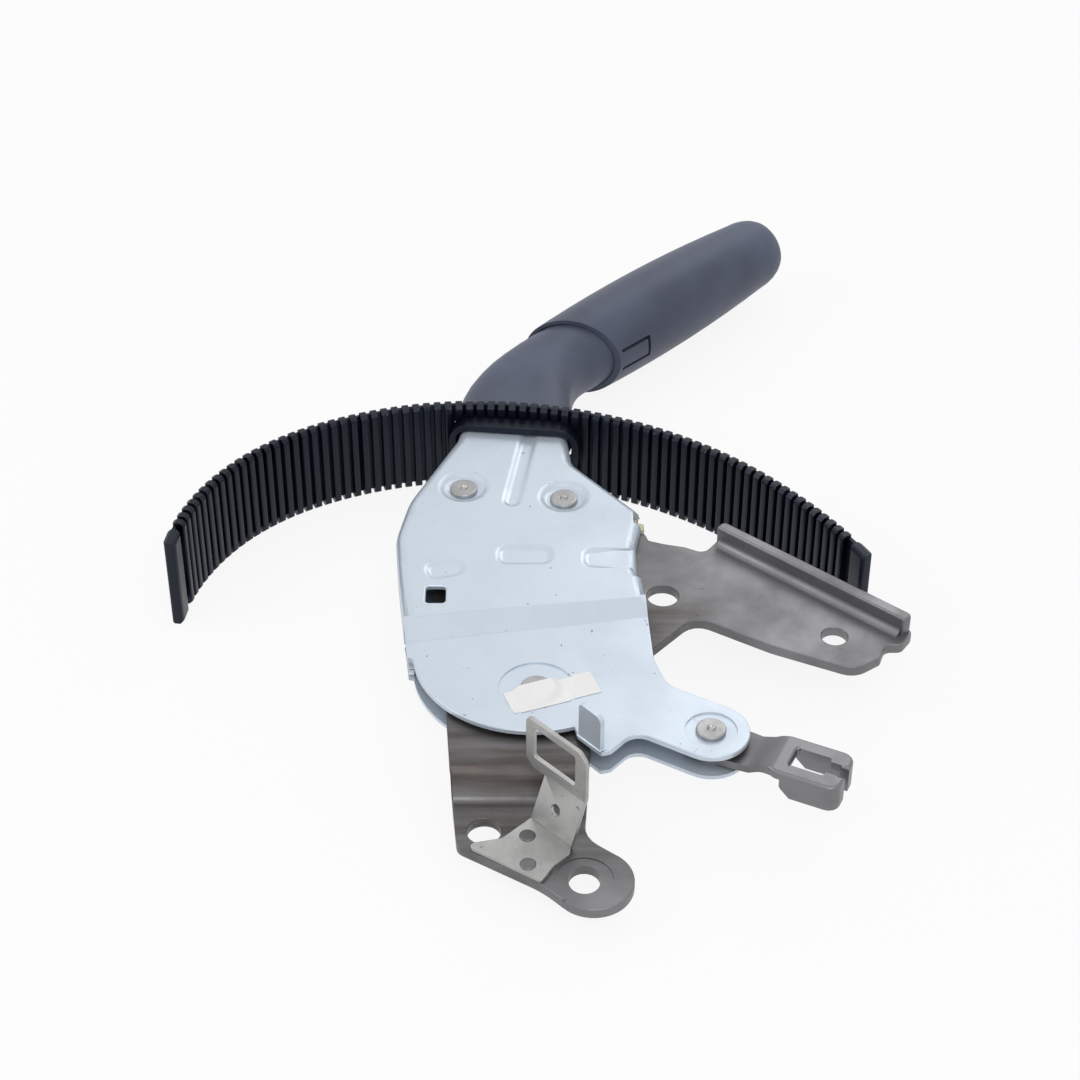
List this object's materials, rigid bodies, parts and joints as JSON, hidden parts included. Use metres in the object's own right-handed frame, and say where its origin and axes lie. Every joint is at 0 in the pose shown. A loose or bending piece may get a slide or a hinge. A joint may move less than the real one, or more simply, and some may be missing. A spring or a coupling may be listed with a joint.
{
  "type": "parking brake lever",
  "caption": "Console parking brake lever: pressed shells riveted over a toothed bracket, with a release-button grip, a cable link, a switch bracket and a ribbed slot cover.",
  "frame": {"origin": "centre of the bolt hole at the end of the bracket's arm, halfway through the plate", "axes": "+Z along that hole, the side that the switch bracket stands on; +Y from the foot towards the grip, the longest way; +X towards the arm's end"},
  "size_m": [0.2594, 0.3754, 0.0495],
  "materials": {
    "bracket_steel": "rolled, lightly oiled",
    "thin_steel": "rolled",
    "zinc_sheet": "zinc plated, satin",
    "rivet_steel": "plated",
    "bush_brass": "sintered",
    "buffer_plastic": "matte",
    "cover_rubber": "moulded",
    "grip_plastic": "fine grain",
    "button_plastic": "smooth"
  },
  "bodies": {
    "bracket": {"base_bracket": "bracket_steel", "switch_bracket": "thin_steel", "switch_rivets": "thin_steel", "pivot_bush": "bush_brass", "pivot_washers": "rivet_steel"},
    "lever": {"upper_shell": "zinc_sheet", "lower_shell": "zinc_sheet", "pivot_rivet": "rivet_steel", "neck_rivets": "rivet_steel", "neck_sleeves": "rivet_steel", "link_rivet": "rivet_steel", "link_washers": "rivet_steel", "stop_buffer": "buffer_plastic", "slot_cover": "cover_rubber", "slot_collar": "cover_rubber", "neck_cover": "grip_plastic", "grip_sleeve": "grip_plastic", "spring_seat": "buffer_plastic", "button_spring": "rivet_steel"},
    "pawl": {"pawl": "bracket_steel"},
    "button": {"release_button": "button_plastic", "release_rod": "rivet_steel"},
    "link": {"cable_link": "bracket_steel"}
  },
  "joints": [
    {"name": "lever_pivot", "type": "hinge", "parent": "bracket", "child": "lever", "pos_m": [-0.102, -0.03, 0], "axis": [0, 0, 1], "range_deg": [0, 35]},
    {"name": "release_button", "type": "slide", "parent": "lever", "child": "button", "axis": [-0.7071, -0.7071, 0], "range_m": [-0.0024, 0.0016], "stiffness_N_per_m": 600, "springref_m": -0.004, "deforming": ["button_spring"]},
    {"name": "pawl_lift", "type": "hinge", "parent": "lever", "child": "pawl", "pos_m": [-0.0922, 0.0703, 0], "axis": [0, 0, 1], "range_deg": [-8.7, 5.8]},
    {"name": "link_swing", "type": "hinge", "parent": "lever", "child": "link", "pos_m": [-0.04506, -0.05016, 0], "axis": [0, 0, 1], "range_deg": [-35, 0]}
  ],
  "couplings": [
    {"joint": "pawl_lift", "follows": "release_button", "rad_per_m": 62.5},
    {"joint": "link_swing", "follows": "lever_pivot", "ratio": -1}
  ]
}
